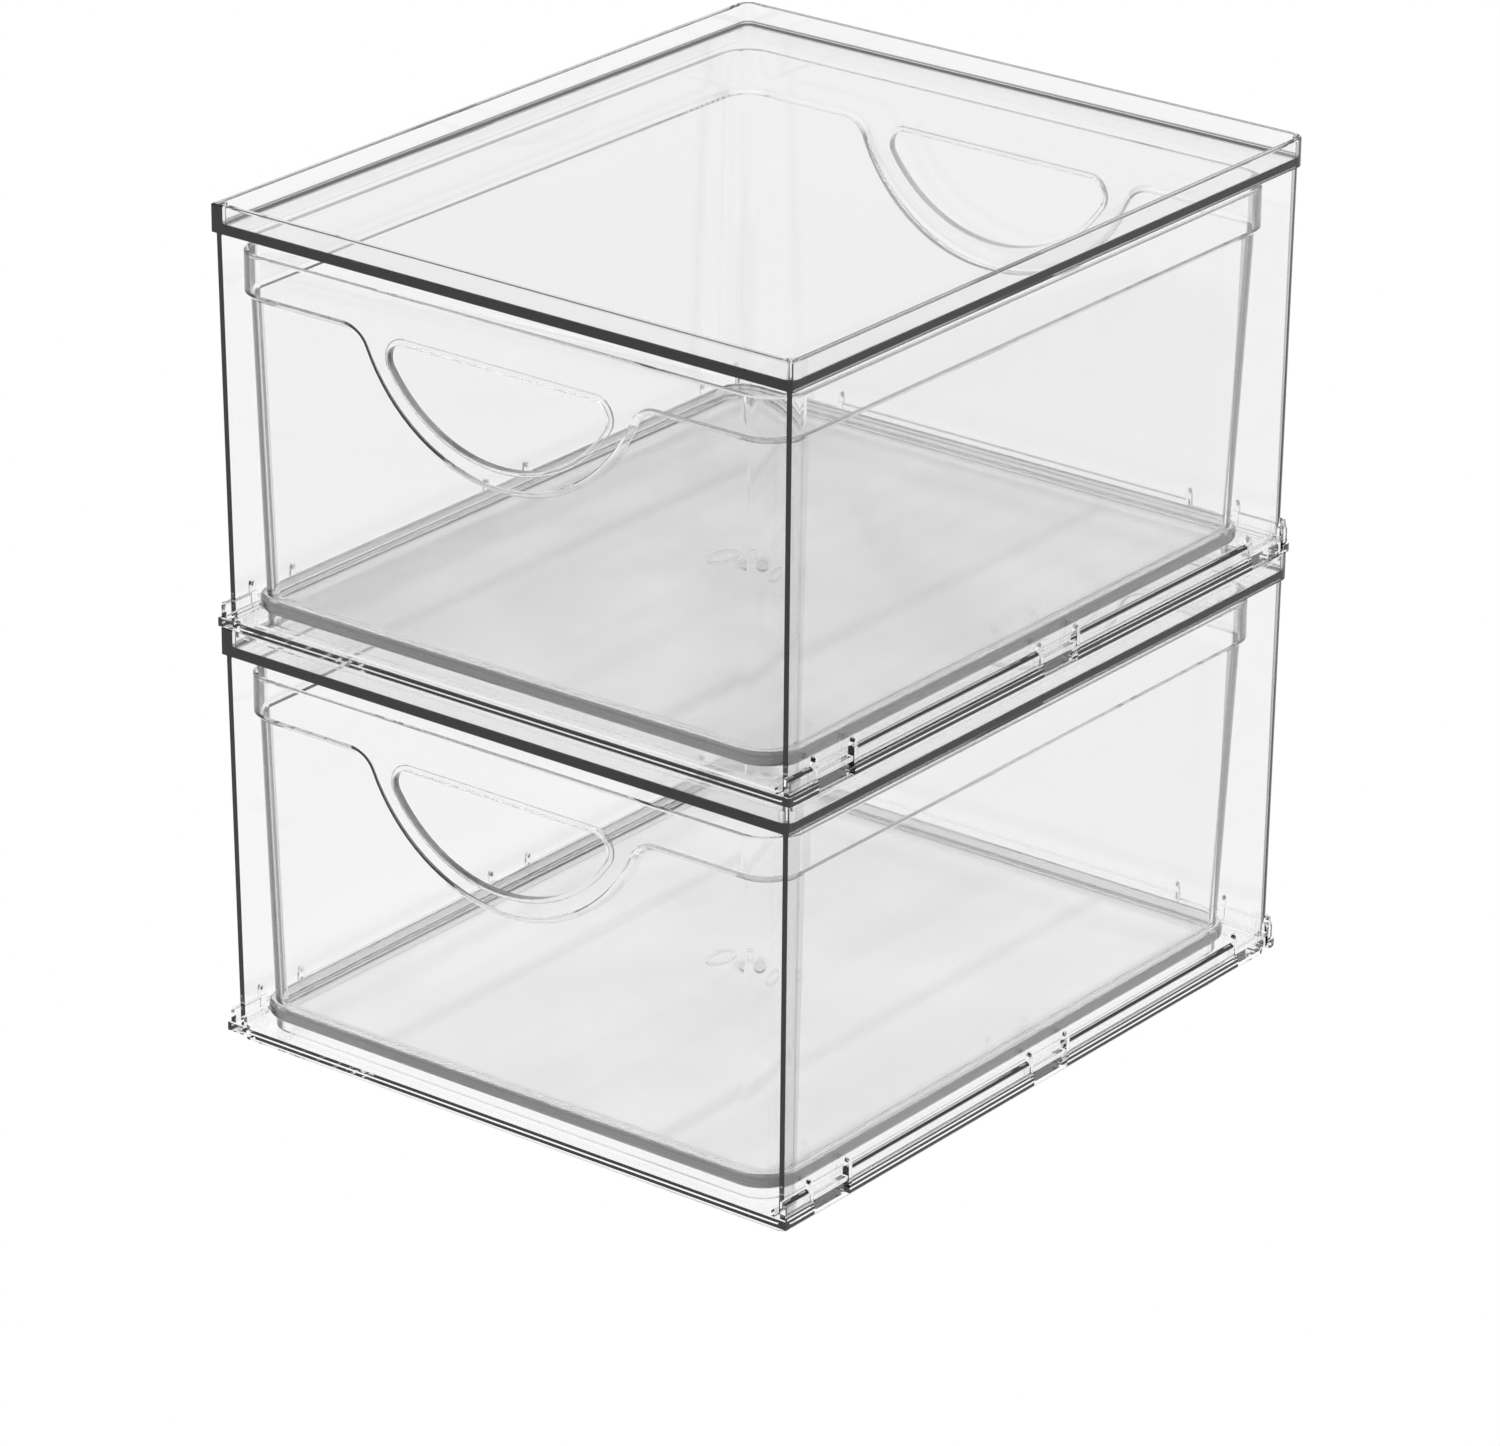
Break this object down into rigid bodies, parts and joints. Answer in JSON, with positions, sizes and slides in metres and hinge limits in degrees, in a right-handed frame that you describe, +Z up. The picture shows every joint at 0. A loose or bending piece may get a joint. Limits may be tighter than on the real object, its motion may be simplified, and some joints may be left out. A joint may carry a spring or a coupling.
{
  "type": "stacked refrigerator bins",
  "caption": "Clear plastic storage modules stacked one on another, each a housing that clips to a base tray, with a pull-out drawer that has a hand hole at each end.",
  "frame": {"origin": "centre of the footprint, at the level that the stack stands on", "axes": "+X to the right seen from the open front, +Y towards the back, +Z up; the drawers pull out along -Y"},
  "size_m": [0.2554, 0.3014, 0.3199],
  "materials": {
    "clear_housing": "clear, glossy",
    "clear_base": "clear, glossy",
    "clear_drawer": "clear, glossy, lightly frosted floor"
  },
  "bodies": {
    "lower_housing": {"lower_housing_shell": "clear_housing", "lower_base_tray": "clear_base"},
    "lower_drawer": {"lower_drawer": "clear_drawer"},
    "upper_housing": {"upper_housing_shell": "clear_housing", "upper_base_tray": "clear_base"},
    "upper_drawer": {"upper_drawer": "clear_drawer"}
  },
  "joints": [
    {"name": "lower_drawer_slide", "type": "slide", "parent": "lower_housing", "child": "lower_drawer", "axis": [0, -1, 0], "range_m": [0, 0.295]},
    {"name": "upper_lift", "type": "slide", "parent": "lower_housing", "child": "upper_housing", "axis": [0, 0, 1], "range_m": [0, 0.06]},
    {"name": "upper_drawer_slide", "type": "slide", "parent": "upper_housing", "child": "upper_drawer", "axis": [0, -1, 0], "range_m": [0, 0.295]}
  ]
}
